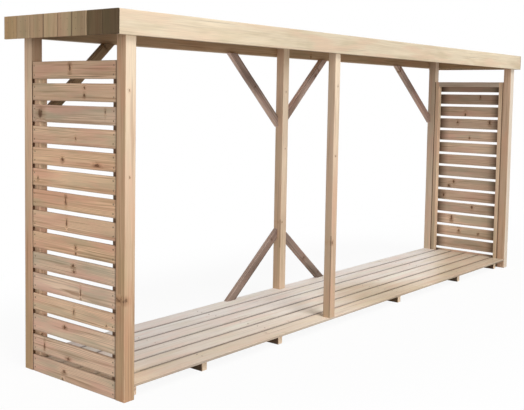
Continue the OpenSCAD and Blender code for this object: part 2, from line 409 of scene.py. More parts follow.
def wood(name, light, dark, stain, pink, knots=0.85, ring=0.0055, figure=0.3, patches=0.6, wear_and_highlight=0.2,
         lines=0.42):
    """Planed softwood: rings round an off-centre pith, fibres, knots, stain patches and end grain.

    light and dark are its early and late wood, stain and pink its patches. ring is the width of a ring in
    metres, and the other numbers say how strongly something shows.
    """
    s = Nodes(bpy.data.materials.new(name))
    grain = s.attr("grain").outputs["Vector"]
    tone = s.attr("tone")
    value, warm, bleach = s.node("ShaderNodeSeparateColor", Color=tone.outputs["Color"]).outputs
    grey = tone.outputs["Alpha"]
    end, edge, narrow = (s.attr(key).outputs["Fac"] for key in ("endgrain", "edge", "narrow"))

    def along(waves, detail, rough=0.5):
        """Noise that runs along the grain."""
        return s.noise(s.vec("MULTIPLY", grain, (waves[0], waves[1], waves[1])), 1.0, detail, rough)

    def centred(colour):
        return s.vec("SUBTRACT", colour, (0.5, 0.5, 0.5))

    # Knots: up to three a board, ragged, longer across the grain, running through the timber
    ragged = centred(s.noise(grain, KNOT_RAGGED, 3.0, 0.65).outputs["Color"])
    bent = s.vec("ADD", grain, s.vec("MULTIPLY", ragged, KNOT_SHIFT))
    bent = s.node("ShaderNodeSeparateXYZ", Vector=bent)

    def spot(key):
        """Distance from a knot's middle, in parts of its size."""
        mark = s.attr(key)
        k = s.node("ShaderNodeSeparateColor", Color=mark.outputs["Color"])
        x = s.math("DIVIDE", s.math("SUBTRACT", bent.outputs[0], k.outputs[0]), k.outputs[2])
        y = s.math("DIVIDE", s.math("SUBTRACT", bent.outputs[1], k.outputs[1]), mark.outputs["Alpha"])
        return s.vec("LENGTH", s.node("ShaderNodeCombineXYZ", X=x, Y=y).outputs[0])

    first, second, third = (spot(key) for key in KNOT_KEYS)
    nearest = s.math("MINIMUM", s.math("MINIMUM", first, second), third)
    core = s.span(nearest, 0.45, 1.15, 1.0, 0.0)
    halo = s.span(nearest, 0.8, 3.0, 1.0, 0.0)

    # Growth rings round the pith, pushed aside by knots
    drift = s.vec("MULTIPLY", centred(along(PITH_DRIFT, 2.0).outputs["Color"]), PITH_SHIFT)
    r = s.vec("LENGTH", s.vec("MULTIPLY", s.vec("ADD", grain, drift), (0.0, 1.0, 1.0)))
    fuzz = s.math("SUBTRACT", along(RING_FUZZ, 3.0).outputs["Fac"], 0.5)
    r = s.math("ADD", r, s.math("MULTIPLY", fuzz, RING_SHIFT))
    r = s.math("ADD", r, s.math("MULTIPLY", halo, KNOT_PUSH))
    phase = s.math("FRACT", s.math("DIVIDE", r, ring))
    late = s.math("MULTIPLY", s.span(phase, 0.30, 0.90), s.span(phase, 0.92, 1.0, 1.0, 0.0))

    # Streaks, patches of stain, pale places, bleaching, thin dark lines and fibres
    fibre = along(FIBRES, 3.0, 0.65).outputs["Fac"]
    streak = along(STREAKS, 4.0, 0.6).outputs["Fac"]
    line = along(LINES, 2.0).outputs["Fac"]
    broad = along(PALE_PLACES, 2.0).outputs["Fac"]
    patch = s.node("ShaderNodeSeparateColor", Color=along(STAINS, 3.0).outputs["Color"])
    pale = tuple(min(1.0, c * 1.12 + 0.02) for c in light)
    col = s.mix(s.math("MULTIPLY", late, figure), light, dark)
    col = s.mix(s.span(streak, 0.50, 0.76, 0.0, STREAK_SHARE), col, dark)
    col = s.mix(s.span(patch.outputs[0], 0.45, 0.68, 0.0, patches), col, stain)
    col = s.mix(s.span(patch.outputs[1], 0.45, 0.68, 0.0, patches), col, pink)
    col = s.mix(s.span(broad, 0.52, 0.72, 0.0, PALE_SHARE), col, pale)
    col = s.mix(s.math("MULTIPLY", bleach, BLEACH_SHARE), col, CREAM)
    col = s.tinted(s.span(line, 0.56, 0.70, 0.0, lines), col, LINE_TINT)
    col = s.tinted(warm, col, WARM_TINT)
    col = s.tinted(grey, col, GREY_TINT)
    col = s.times(col, s.span(fibre, 0.25, 0.75, 0.90, 1.08, False))

    # Knots are red brown with darker bits and streaks running off along the grain
    bits = s.span(s.noise(grain, KNOT_BITS, 3.0, 0.6).outputs["Fac"], 0.40, 0.62)
    col = s.tinted(s.math("MULTIPLY", halo, HALO_SHARE * knots), col, HALO_TINT)
    tail = s.math("MULTIPLY", halo, s.span(streak, 0.46, 0.60))
    col = s.mix(s.math("MULTIPLY", tail, TAIL_SHARE * knots), col, TAIL_BROWN)
    col = s.mix(s.math("MULTIPLY", core, knots), col, s.mix(bits, KNOT_BROWN, KNOT_DARK))

    # Drying checks: fine dark splits along the grain
    crack = along(CHECKS, 1.0).outputs["Fac"]
    place = along(CHECK_PLACES, 1.0).outputs["Fac"]
    check = s.math("MULTIPLY", s.span(crack, 0.71, 0.77), s.span(place, 0.50, 0.62))
    col = s.mix(s.math("MULTIPLY", check, CHECK_SHARE), col, CHECK_BROWN)

    # End grain is darker, dark joints and painted shade darken faces, eased edges are a little paler from
    # wear and a painted highlight, and each board has its strength
    col = s.tinted(s.math("MULTIPLY", end, END_SHARE), col, END_TINT)
    col = s.mix(s.math("MULTIPLY", edge, wear_and_highlight), col, pale)
    col = s.tinted(narrow, col, NARROW_TINT)
    col = s.times(col, s.span(value, 0.0, 1.0, 0.0, 2.0, False))

    rough = s.span(s.math("ADD", fibre, s.math("MULTIPLY", end, 0.3)), 0.2, 1.0, 0.58, 0.82, False)
    high = s.math("ADD", s.math("MULTIPLY", fibre, FIBRE_HIGH), s.math("MULTIPLY", late, LATE_HIGH))
    high = s.math("SUBTRACT", high, s.math("MULTIPLY", check, CHECK_LOW))
    high = s.math("SUBTRACT", high, s.math("MULTIPLY", core, KNOT_LOW))
    bump = s.node("ShaderNodeBump", Strength=BUMP_STRENGTH, Distance=BUMP_HEIGHT, Height=high)
    return s.finish(Base_Color=col, Roughness=rough, Specular_IOR_Level=WOOD_GLOSS, Normal=bump.outputs[0])


def steel(name):
    """Dull, mottled steel of the screw heads."""
    s = Nodes(bpy.data.materials.new(name))
    place = s.node("ShaderNodeTexCoord").outputs["Object"]
    mottle = s.noise(place, 900.0, 3.0).outputs["Fac"]
    col = s.mix(s.span(mottle, 0.35, 0.7), srgb(126, 120, 108), srgb(88, 80, 70))
    rough = s.span(mottle, 0.3, 0.7, 0.38, 0.62, False)
    return s.finish(Base_Color=col, Roughness=rough, Metallic=0.85)


POST = wood("post_wood", srgb(216, 187, 160), srgb(176, 140, 110), srgb(200, 175, 142), srgb(214, 170, 142),
            knots=0.75, figure=0.5, patches=0.8, lines=0.5)
FASCIA = wood("fascia_wood", srgb(229, 214, 188), srgb(206, 182, 148), srgb(208, 191, 160),
              srgb(227, 200, 173), knots=0.3, ring=0.0075, figure=0.32, patches=0.85, lines=0.2)
ENDS = wood("roof_end_wood", srgb(210, 184, 150), srgb(164, 133, 98), srgb(182, 166, 132),
            srgb(204, 168, 138), knots=0.35, ring=0.0070, figure=0.36, patches=0.85, lines=0.4)
SLAT = wood("slat_wood", srgb(238, 205, 173), srgb(168, 125, 93), srgb(195, 176, 146), srgb(224, 178, 152),
            figure=0.55, patches=0.85, lines=0.6)
FLOOR = wood("floor_wood", srgb(247, 238, 228), srgb(222, 204, 186), srgb(234, 222, 202), srgb(244, 222, 208),
             knots=0.3, ring=0.0070, patches=0.7, wear_and_highlight=0.0, lines=0.3)
BRACE = wood("brace_wood", srgb(196, 174, 163), srgb(124, 96, 84), srgb(148, 130, 114), srgb(180, 148, 136),
             knots=0.7, figure=0.4, patches=0.9)
FRAME_WOOD = wood("roof_frame_wood", srgb(204, 178, 146), srgb(160, 128, 98), srgb(174, 160, 128),
                  srgb(194, 156, 126), knots=0.7, ring=0.0065, figure=0.45)
STEEL = steel("screw_steel")
# Darker wood round the screw heads, partly a bruise and partly a painted shade of the countersink
BRUISE_AND_SHADE = wood("countersink_wood", srgb(150, 116, 88), srgb(112, 82, 58), srgb(128, 98, 72),
              srgb(140, 102, 76), knots=0.3)


# Tones and knots of single boards

KNOT_SIZES, KNOT_SHORT, KNOT_LONG = (0.6, 1.2), (0.6, 1.0), (0.9, 1.8)    # parts of the knots' size
KNOT_ALONG, KNOT_ACROSS = 0.45, 0.35                                      # furthest from the middle


def tones(lo, hi, warm_lo=0.0, warm_hi=1.0, bleach=0.0, grey=0.0):
    """Random strength and warmth of one board; a strength of 1, kept as 0.5, leaves the colour as it is."""
    def pick(rng):
        return (rng.uniform(lo, hi) / 2, rng.uniform(warm_lo, warm_hi), bleach, grey)
    return pick


def scattered(most, size):
    """Random knots of one board, given as place along, place across and the two half sizes."""
    def pick(rng, length, width):
        found = []
        for _ in range(rng.randint(0, most)):
            r = size * rng.uniform(*KNOT_SIZES)
            found.append((rng.uniform(-KNOT_ALONG, KNOT_ALONG) * length,
                          rng.uniform(-KNOT_ACROSS, KNOT_ACROSS) * width,
                          r * rng.uniform(*KNOT_SHORT), r * rng.uniform(*KNOT_LONG)))
        return found
    return pick


def placed(spots):
    """Knots at given places: each is metres along, metres across and the two half sizes."""
    def pick(rng, length, width):
        return list(spots)
    return pick


def blend(x, *stops):
    """Value at x on a broken line through (position, value) stops."""
    return float(np.interp(x, [p for p, _ in stops], [v for _, v in stops]))


FLOOR_BOARDS = tuple(f"floor_board_{i}" for i in range(1, 7))
BEARERS = tuple(f"bearer_{i}" for i in range(1, 7))
# Knots of the left slats from the top one down: place along from the front and place across, in parts
# of the slat, then half sizes in metres
SLAT_KNOTS = [
    [(0.53, 0.60, 0.010, 0.022)], [(0.36, 0.78, 0.009, 0.010), (0.36, 0.36, 0.008, 0.010)],
    [(0.90, 0.50, 0.024, 0.030), (0.12, 0.70, 0.005, 0.016)], [(0.46, 0.40, 0.006, 0.010)],
    [(0.62, 0.45, 0.010, 0.012), (0.21, 0.28, 0.022, 0.007)], [(0.93, 0.45, 0.006, 0.010)],
    [(0.58, 0.55, 0.007, 0.026)], [(0.57, 0.58, 0.007, 0.022)],
    [(0.46, 0.46, 0.008, 0.010), (0.46, 0.14, 0.009, 0.008)],
    [(0.49, 0.66, 0.012, 0.010), (0.48, 0.34, 0.010, 0.009)], [(0.40, 0.45, 0.006, 0.026)],
    [(0.48, 0.52, 0.008, 0.016), (0.10, 0.22, 0.006, 0.008)], [(0.59, 0.70, 0.012, 0.009)],
    [(0.85, 0.45, 0.006, 0.024), (0.55, 0.14, 0.016, 0.007)],
    [(0.60, 0.58, 0.013, 0.011), (0.62, 0.06, 0.010, 0.012)],
]
# Their strength, warmth and greyness
SLAT_TONES = [
    (1.00, 0.2, 0.1), (1.00, 0.2, 0.2), (0.98, 0.0, 0.5), (1.08, 0.2, 0.1), (1.06, 0.5, 0.0),
    (1.16, 0.4, 0.0), (1.12, 0.5, 0.0), (1.14, 0.3, 0.1), (1.14, 0.4, 0.0), (1.20, 0.0, 0.7),
    (1.20, 0.0, 0.8), (1.16, 0.2, 0.2), (1.18, 0.0, 0.6), (1.12, 0.0, 0.6), (1.10, 0.0, 0.6),
]
SLAT_VARIES = 0.02
# Knots through three posts: height above the ground, place across and half sizes
POST_KNOTS = {
    "front_left_post": ((1.60, -0.010, 0.007, 0.005), (0.53, -0.027, 0.013, 0.014),
                        (1.16, -0.004, 0.006, 0.004)),
    "back_middle_post": ((1.62, 0.002, 0.006, 0.004), (1.18, 0.004, 0.004, 0.004),
                         (0.61, -0.022, 0.008, 0.008)),
    "front_middle_post": ((1.66, 0.004, 0.006, 0.004), (1.19, -0.004, 0.005, 0.005),
                          (0.60, -0.018, 0.010, 0.008)),
}
# How many random knots a board may have and their size, where its group's don't hold
KNOTS = {"right_slats": (2, 0.015)}
# Range of strength and of warmth, then bleaching and greyness, where the group's don't hold
TONES = {
    "right_slats": (0.82, 1.18, 0.0, 0.2, 0.1, 0.8), "right_top_rail": (0.81, 0.83, 0.0, 0.0, 0.7, 1.0),
    # The left end rail is darker, a painted shade under the roof's left end
    "left_end_rail": (0.5, 0.52, 0.5, 0.6), "front_beam": (0.7, 0.72, 0.3, 0.4),
    "right_front_stile": (1.04, 1.08, 0.0, 0.2, 0.4), "right_back_stile": (1.04, 1.08, 0.0, 0.2, 0.4),
    "back_left_post": (1.04, 1.06, 0.2, 0.3, 0.25), "back_right_post": (1.04, 1.06, 0.0, 0.1, 0.25, 0.5),
    "front_right_post": (1.00, 1.02, 0.1, 0.2, 0.0, 1.0),
    "floor_board_1": (0.98, 1.00, 0.55, 0.65), "floor_board_4": (0.98, 1.02, 0.0, 0.1, 0.0, 0.3),
    "floor_board_5": (1.00, 1.02, 0.0, 0.1, 0.0, 0.5), "floor_board_6": (1.03, 1.05, 0.0, 0.05, 0.0, 0.6),
}
# The same for some left end boards, counted from the front
END_TONES = {0: (0.30, 0.31, 0.9, 1.0), 1: (0.30, 0.31, 0.9, 1.0), 2: (0.88, 0.90, 0.3, 0.4),
             7: (0.84, 0.86, 0.9, 1.0)}
# Darkness of their joints, by each board's own two sides
END_JOINTS = [(0.5, 0.0), (0.0, 0.3), (0.3, 0.85), (0.85, 0.4), (0.4, 0.85), (0.85, 0.4), (0.4, 0.3),
              (0.3, 0.5)]


# Shade: the tone of a board at a point of it, on the side that faces an outward direction; in places this is
# painted light and painted shade, as said at each

FACING, SLANT_FACING = 0.5, 0.3    # least part of a direction that counts as facing that way
POST_HEIGHTS = (1.6, 0.95, 0.15)
# Rows of pairs are stops: a place in metres and the strength, or the share of an effect, there
FLOOR_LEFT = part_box("floor_board_2")[0].x
FLOOR_PATCH, FLOOR_PATCH_R, FLOOR_PATCH_GAIN = (0.33, -0.23), (0.34, 0.24), 1.6
FLOOR_FRONT_Y, FLOOR_SLANT, FLOOR_RIGHT = -0.42, 1.9, ((0.95, 0.0), (1.20, 1.0))
# The floor's left end by the slats is painted lighter and browner, a painted light against the slats' shade
FLOOR_LIT_BROWN = ((0.10, 1.0), (0.30, 0.0))
FLOOR_WARM, DAMP_LOSS, PAINTED_LIGHT_LIFT = 0.9, 0.26, 0.15
FLOOR_GAIN = ((-1.9, 0.87), (-1.1, 0.97), (-0.5, 1.07), (0.4, 1.07), (1.9, 1.07), (2.25, 0.90))
FASCIA_GAIN = ((-1.8, 1.02), (-0.9, 0.91), (0.6, 0.91), (1.4, 0.95), (2.1, 0.95), (2.45, 0.86))
FASCIA_BLEACH = ((-2.2, 0.35), (-1.2, 0.0))
END_FRONT_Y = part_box("left_end_boards")[0].y
END_GAIN = ((0.0, 0.70), (0.03, 0.86), (0.18, 1.0), (0.239, 1.06), (0.25, 0.62), (0.30, 0.86), (0.36, 1.0))
BEAM_GAIN = ((-2.4, 0.46), (-1.9, 0.74), (-1.4, 1.0))
LEFT_STILE_GAIN = ((0.1, 0.85), (1.1, 1.05), (1.7, 1.2))
RIGHT_STILE_GAIN = ((0.2, 0.70), (0.6, 0.82), (1.2, 1.0))
# The bearers' left sides are painted darker, a painted shade
BEARER_LEFT_GAIN, BEARER_FRONT = 0.26, ((-0.397, 1.0), (-0.38, 0.0))
BEARER_LIFT, BEARER_BLEACH = 0.36, 0.85
# Painted shade on the slats: dark tips outside, darker inside high up and in the corners by the stiles
SLAT_TIP = 0.012
SLAT_TIP_GAIN = ((0.0, 0.45), (SLAT_TIP, 1.0))
SLAT_CORNER_GAIN = ((0.0, 0.10), (0.03, 0.42), (0.09, 1.0))
SLAT_HIGH_GAIN = ((1.25, 1.0), (1.7, 0.70))
# The braces' sides towards the left are painted paler, a painted light
BRACE_LEFT_GAIN = 1.7
# Darker and paler bands along the braces: height above the ground and strength
BRACE_BANDS = {
    "middle_upper_left_brace": (
        (1.32, 1.0), (1.57, 1.0), (1.64, 0.65), (1.72, 0.5), (1.79, 0.8), (1.85, 1.05)),
    "middle_upper_right_brace": (
        (1.30, 0.75), (1.40, 0.95), (1.68, 1.1), (1.75, 0.7), (1.80, 1.0), (1.85, 1.1)),
    "right_brace": (
        (1.33, 0.7), (1.42, 0.9), (1.50, 1.0), (1.60, 0.9), (1.68, 0.65), (1.76, 0.8), (1.85, 1.2)),
    "middle_lower_left_brace": (
        (0.10, 0.8), (0.18, 0.95), (0.28, 0.75), (0.36, 1.0), (0.48, 1.05), (0.56, 0.7)),
    "middle_lower_right_brace": (
        (0.10, 0.65), (0.17, 0.75), (0.24, 1.05), (0.40, 1.05), (0.48, 0.75), (0.58, 0.9)),
}


def scaled(tone, gain):
    """The tone with its strength times a number."""
    return (tone[0] * gain, *tone[1:])


def post_shade(front, left, heights=POST_HEIGHTS):
    """Tone of a post on two faces, partly weathering and partly painted light and shade: strength, warmth and
    bleaching at its top, middle and foot.
    """
    at_top, at_middle, at_foot = heights

    def shade(tone, p, side):
        stops = front if side.y < -FACING else left if side.x < -FACING else None
        if stops is None:
            return (*tone[:3], 0.0)
        top, middle, foot = stops
        gain, warm, bleach = (blend(p.z, (at_foot, low), (at_middle, mid), (at_top, high))
                              for low, mid, high in zip(foot, middle, top))
        return (tone[0] * gain, warm, bleach, tone[3])
    return shade


def floor_shade(tone, p, side):
    """Boards are browner in a damp patch past the middle and at the right end, and painted lighter and
    browner at the left end by the slats, a painted light against the slats' shade.
    """
    off_x, off_y = (p.x - FLOOR_PATCH[0]) / FLOOR_PATCH_R[0], (p.y - FLOOR_PATCH[1]) / FLOOR_PATCH_R[1]
    damp = min(1.0, FLOOR_PATCH_GAIN * math.exp(-off_x ** 2 - off_y ** 2))
    damp = max(damp, blend(p.x - FLOOR_SLANT * (p.y - FLOOR_FRONT_Y), *FLOOR_RIGHT))
    lit_brown = blend(p.x - FLOOR_LEFT, *FLOOR_LIT_BROWN)
    gain = blend(p.x, *FLOOR_GAIN) * (1 - DAMP_LOSS * damp) + PAINTED_LIGHT_LIFT * lit_brown
    warm = tone[1] + FLOOR_WARM * damp + FLOOR_WARM * lit_brown
    return (tone[0] * gain, min(1.0, warm), tone[2], tone[3] * (1 - damp))


def fascia_shade(tone, p, side):
    """Paler towards the left corner, darker along the middle and at the right corner."""
    return (tone[0] * blend(p.x, *FASCIA_GAIN), tone[1], blend(p.x, *FASCIA_BLEACH), tone[3])


def end_shade(tone, p, side):
    """The front boards of the left end are darker towards the corner, and the next one at its joint."""
    return scaled(tone, blend(p.y - END_FRONT_Y, *END_GAIN))


def brace_shade(node):
    """The sides towards the left are painted paler, a painted light, and the braces are darker and paler in
    bands along the length.
    """
    def shade(tone, p, side):
        lit = BRACE_LEFT_GAIN if side.x < -SLANT_FACING else 1.0
        return scaled(tone, blend(p.z, *BRACE_BANDS[node]) * lit)
    return shade


def beam_shade(tone, p, side):
    """The back beam is painted darker towards the left end, a painted shade under the roof."""
    return scaled(tone, blend(p.x, *BEAM_GAIN))


def slat_shade(panel, inward, grey_outside):
    """Painted shade on the slats: dark at the tips outside, and inside high up under the roof and in the
    corners by the stiles.
    """
    front_y, back_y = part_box(f"{panel}_front_stile")[1].y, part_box(f"{panel}_back_stile")[0].y
    slat_lo, slat_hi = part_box(f"{panel}_slats")

    def shade(tone, p, side):
        if side.x * inward < FACING:
            d = min(p.y - slat_lo.y, slat_hi.y - p.y)
            return (tone[0] * blend(d, *SLAT_TIP_GAIN), *tone[1:3], tone[3] if grey_outside else 0.0)
        d = max(0.0, min(p.y - front_y, back_y - p.y))
        return scaled(tone, blend(p.z, *SLAT_HIGH_GAIN) * blend(d, *SLAT_CORNER_GAIN))
    return shade


def bearer_shade(tone, p, side):
    """Left sides are painted dark, a painted shade; front ends are pale."""
    if side.x < -FACING:
        return scaled(tone, BEARER_LEFT_GAIN)
    pale = blend(p.y, *BEARER_FRONT)
    return (tone[0] * (1 + BEARER_LIFT * pale), tone[1] * (1 - pale), BEARER_BLEACH * pale, tone[3])


def left_stile_shade(tone, p, side):
    """The left back stile is paler above and darker below, as seen between the slats."""
    return scaled(tone, blend(p.z, *LEFT_STILE_GAIN))


def right_stile_shade(tone, p, side):
    """The right back stile is darker below."""
    return scaled(tone, blend(p.z, *RIGHT_STILE_GAIN))


# The back left post's front is painted darker at the top, a painted shade under the roof; the fronts of the
# back middle and back right posts are painted paler at the top, a painted light against the roof's shade
SHADES = {
    "front_left_post": post_shade(((1.05, 0.1, 0.9), (0.98, 0.2, 0.15), (0.72, 0.9, 0.0)),
                                  ((0.96, 0.5, 0.0), (0.95, 0.85, 0.0), (0.86, 0.95, 0.0))),
    "back_left_post": post_shade(((0.64, 0.5, 0.0), (0.98, 0.2, 0.1), (0.90, 0.6, 0.0)),
                                 ((1.15, 0.3, 0.3), (1.0, 0.5, 0.1), (0.88, 0.9, 0.0))),
    "front_middle_post": post_shade(((1.10, 0.0, 0.85), (0.96, 0.1, 0.25), (0.90, 0.2, 0.1)),
                                    ((0.97, 0.0, 0.4), (0.95, 0.0, 0.4), (0.93, 0.2, 0.2))),
    "back_middle_post": post_shade(((1.24, 0.0, 1.0), (1.20, 0.0, 0.9), (0.84, 0.1, 0.5)),
                                   ((1.15, 0.0, 0.25), (1.15, 0.0, 0.2), (1.08, 0.2, 0.1)), (1.6, 1.1, 0.6)),
    "front_right_post": post_shade(((0.98, 0.0, 0.9), (0.94, 0.0, 0.9), (0.88, 0.1, 0.8)),
                                   ((1.12, 0.5, 0.0), (1.08, 0.6, 0.0), (1.04, 0.7, 0.0))),
    "back_right_post": post_shade(((1.20, 0.0, 0.8), (1.00, 0.0, 0.6), (0.95, 0.0, 0.5)),
                                  ((0.87, 0.0, 0.3), (1.08, 0.0, 0.4), (1.05, 0.05, 0.4))),
    "left_slats": slat_shade("left", 1, True), "right_slats": slat_shade("right", -1, False),
    "left_back_stile": left_stile_shade, "right_back_stile": right_stile_shade,
    "left_end_boards": end_shade, "front_fascia": fascia_shade, "back_beam": beam_shade,
    **dict.fromkeys(BEARERS, bearer_shade), **dict.fromkeys(FLOOR_BOARDS, floor_shade),
    **{node: brace_shade(node) for node in BRACE_BANDS},
}


# Painted shade: how dark a face is painted where shade falls in gaps, corners and recesses, by its middle and
# the side it is on

SEAM = 0.009              # width of a painted shade line along an edge
FLOOR_SIDES, FLOOR_FRONT_DARK = ((0.10, 0.2), (0.25, 0.68)), 0.5
POST_DARK, STILE_DARK, SEAM_DARK = 0.95, 0.75, 0.85
POST_EASE = 0.0035
panel_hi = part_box("left_slats")[1]


def floor_gap_shade(p, side):
    """Painted shade on the sides of the floor boards in the gaps, less at the left end."""
    return blend(p.x - FLOOR_LEFT, *FLOOR_SIDES) if abs(side.y) > FACING else 0.0


def front_edge_shade(p, side):
    """The same, with the front face evenly painted darker, a painted shade."""
    return FLOOR_FRONT_DARK if side.y < -FACING else floor_gap_shade(p, side)


def post_recess_shade(p, side):
    """Painted shade in the corner between the back left post and the end panel."""
    return POST_DARK if side.y < -FACING and p.x < panel_hi.x and p.z < panel_hi.z else 0.0


def stile_recess_shade(p, side):
    """Painted shade on the side of the left front stile that the slats cover."""
    return STILE_DARK if side.x < -FACING else 0.0


def corner_shade_line(node, low, high, dark):
    """Painted shade line on the left face of a post along its front corner, between two heights."""
    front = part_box(node)[0].y

    def painted_shade(p, side):
        return dark if side.x < -FACING and p.y - front < SEAM and low < p.z < high else 0.0
    return painted_shade


def seam_shade_line(y):
    """Painted shade line on the inner face of a right stile, along the post beside it."""
    def painted_shade(p, side):
        return SEAM_DARK if side.x < -FACING and abs(p.y - y) < SEAM else 0.0
    return painted_shade


PAINTED_SHADES = {
    "right_front_stile": seam_shade_line(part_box("right_front_stile")[0].y),
    "right_back_stile": seam_shade_line(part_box("right_back_stile")[1].y),
    "front_middle_post": corner_shade_line("front_middle_post", 0.0, 0.64, 0.4),
    "back_middle_post": corner_shade_line("back_middle_post", 0.42, 0.68, 0.35),
    "back_left_post": post_recess_shade, "left_front_stile": stile_recess_shade,
    **dict.fromkeys(FLOOR_BOARDS, floor_gap_shade), "floor_board_1": front_edge_shade,
}
# Darkness of the two narrow sides and of the strips beside them, a painted shade along the gaps on the slats
# and floor boards, width of the strips, darkness of the end grain, and length of the tips with painted shade
NARROW = {
    "left_end_boards": (0.5, 0.5), "right_end_boards": (0.5, 0.5),
    "left_slats": (0.45, 0.35), "right_slats": (0.45, 0.35), "roof_boards": (0.6, 0.6),
}
RIM = {
    "left_slats": (0.20, 0.0), **dict.fromkeys(FLOOR_BOARDS, (0.28, 0.28)),
    "floor_board_1": (0.0, 0.28), "floor_board_6": (0.28, 0.0),
}
STRIPS = {
    "left_slats": 0.005, "right_slats": 0.005, **dict.fromkeys(FLOOR_BOARDS, 0.008),
    "back_left_post": panel_hi.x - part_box("back_left_post")[0].x - POST_EASE,
}
END_GRAIN = dict.fromkeys(BEARERS, 0.25)
TIPS = {"left_slats": SLAT_TIP, "right_slats": SLAT_TIP}


# Boards

Group = namedtuple("Group", "nodes wood slot ease tone knots")
GROUPS = [
    Group(("front_left_post", "front_right_post", "back_left_post", "back_right_post",
           "front_middle_post", "back_middle_post"),
          POST, "post_timber", POST_EASE, (0.97, 1.04, 0.2, 0.5), (0, 0.01)),
    Group(("front_beam", "back_beam", "left_end_rail", "right_end_rail", "roof_joists", "roof_boards"),
          FRAME_WOOD, "roof_timber", 0.003, (0.92, 1.06, 0.1, 0.7), (2, 0.012)),
    Group(("front_fascia", "back_fascia"),
          FASCIA, "fascia_timber", 0.003, (1.0, 1.02, 0.0, 0.2), (0, 0.01)),
    Group(("left_end_boards", "right_end_boards"),
          ENDS, "fascia_timber", 0.003, (0.86, 0.98, 0.1, 0.5), (0, 0.008)),
    Group(("left_slats", "right_slats", "left_front_stile", "left_back_stile", "right_front_stile",
           "right_back_stile", "left_top_rail", "right_top_rail", "left_bottom_rail", "right_bottom_rail"),
          SLAT, "slat_timber", 0.0025, (0.88, 1.06, 0.0, 0.6), (1, 0.010)),
    Group(FLOOR_BOARDS, FLOOR, "floor_timber", 0.0025, (0.98, 1.03, 0.0, 0.3), (1, 0.010)),
    Group(BEARERS, POST, "floor_timber", 0.003, (0.80, 0.95, 0.2, 0.8), (1, 0.010)),
]
# Side of its post that a brace is on, and whether it stands on the floor or hangs from the beam
BRACES = {
    "left_brace": (1, -1), "right_brace": (-1, -1),
    "middle_upper_left_brace": (-1, -1), "middle_upper_right_brace": (1, -1),
    "middle_lower_left_brace": (-1, 1), "middle_lower_right_brace": (1, 1),
}
LEFT_BRACE_TONE = (0.42, 0.44, 0.6, 0.6)
# The upper braces are painted paler than the lower ones, a painted light against the roof's shade
LOWER_BRACE_TONE, UPPER_BRACE_TONE = (0.54, 0.58, 0.2, 0.4), (0.92, 0.97, 0.0, 0.2)
BRACE_EASE, BRACE_KNOTS, BRACE_RIM = 0.003, (2, 0.012), (0.0, 0.4)


def settle(obj, node=None):
    """Puts a piece on the body and hides the part that it stands for."""
    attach(obj, "root")
    if node:
        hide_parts(node)


def board_look(group, node, i, count, at, length, width):
    """Look of one board: its group's, with what its node and its place in the node change."""
    look = Look(tones(*TONES.get(node, group.tone)), scattered(*KNOTS.get(node, group.knots)),
                SHADES.get(node), PAINTED_SHADES.get(node), NARROW.get(node, CLEAN), RIM.get(node, CLEAN),
                STRIPS.get(node, STRIP), END_GRAIN.get(node, 1.0), TIPS.get(node, 0.0))
    if node == "left_slats":
        down = (count - 1 - i) % len(SLAT_TONES)
        value, warm, grey = SLAT_TONES[down]
        look.tone = tones(value - SLAT_VARIES, value + SLAT_VARIES, warm, warm, 0.0, grey)
        look.knots = placed([((f - 0.5) * length, (g - 0.5) * width, *half)
                             for f, g, *half in SLAT_KNOTS[down]])
    if node == "left_end_boards":
        look.tone = tones(*END_TONES.get(i, group.tone))
        look.narrow = END_JOINTS[i % len(END_JOINTS)]
    if node in POST_KNOTS:
        look.knots = placed([(z - at.z, *rest) for z, *rest in POST_KNOTS[node]])
    return look


rng = random.Random(SEED)
for group in GROUPS:
    for node in group.nodes:
        piece = Pieces()
        solids = islands(node)
        for i, solid in enumerate(solids):
            at, axes, size, cuts = straight(solid)
            length = (solid.max(0) - solid.min(0)).max()
            look = board_look(group, node, i, len(solids), at, length, size[0])
            spacing = SLAT_SPACING if node in TIPS else SPACING
            piece.board(at, axes, size, cuts, rng, look, group.ease, spacing)
        settle(piece.build(f"{node}_wood", [group.wood]), node)
for node, (side, lift) in BRACES.items():
    piece = Pieces()
    tone = LEFT_BRACE_TONE if node == "left_brace" else LOWER_BRACE_TONE if lift > 0 else UPPER_BRACE_TONE
    look = Look(tones(*tone), scattered(*BRACE_KNOTS), SHADES.get(node), rim=BRACE_RIM)
    for solid in islands(node):
        piece.board(*sloping(solid, side, lift), rng, look, BRACE_EASE, BRACE_SPACING)
    settle(piece.build(f"{node}_wood", [FRAME_WOOD if node == "left_brace" else BRACE]), node)


# Screws: a countersunk head in a ring of darker wood, partly a bruise and partly a painted shade of the
# countersink

HEAD_R, RING_R, SEGMENTS = 0.0036, 0.0050, 12
STEEL_SLOT, BRUISE_AND_SHADE_SLOT = 0, 1
# Radius, height above the face and material of each ring, the last two being the recess with its lobes
SCREW_RINGS = (
    (RING_R, -0.0010, BRUISE_AND_SHADE_SLOT), (RING_R, 0.0002, BRUISE_AND_SHADE_SLOT), (HEAD_R * 1.06, 0.0001, BRUISE_AND_SHADE_SLOT),
    (HEAD_R, -0.0004, STEEL_SLOT), (HEAD_R * 0.86, 0.0001, STEEL_SLOT),
    (HEAD_R * 0.44, 0.0, STEEL_SLOT), (HEAD_R * 0.34, -0.0012, STEEL_SLOT))
RECESS, LOBE = 5, 0.72
RING_BLEACH, RING_GRAIN_RUN, RING_GRAIN_DEPTH = 0.2, 30, 0.02
SCREW_ASTRAY = 0.0025
END_BOARD_GROW = 0.5
RAIL_SCREW_UP = 0.022
# Places of a pair of screws across a board, in parts of its width
SLAT_PAIR, END_PAIR, FLOOR_PAIR, ROOF_PAIR = (0.24, 0.76), (0.28, 0.72), (0.25, 0.75), (0.22, 0.78)


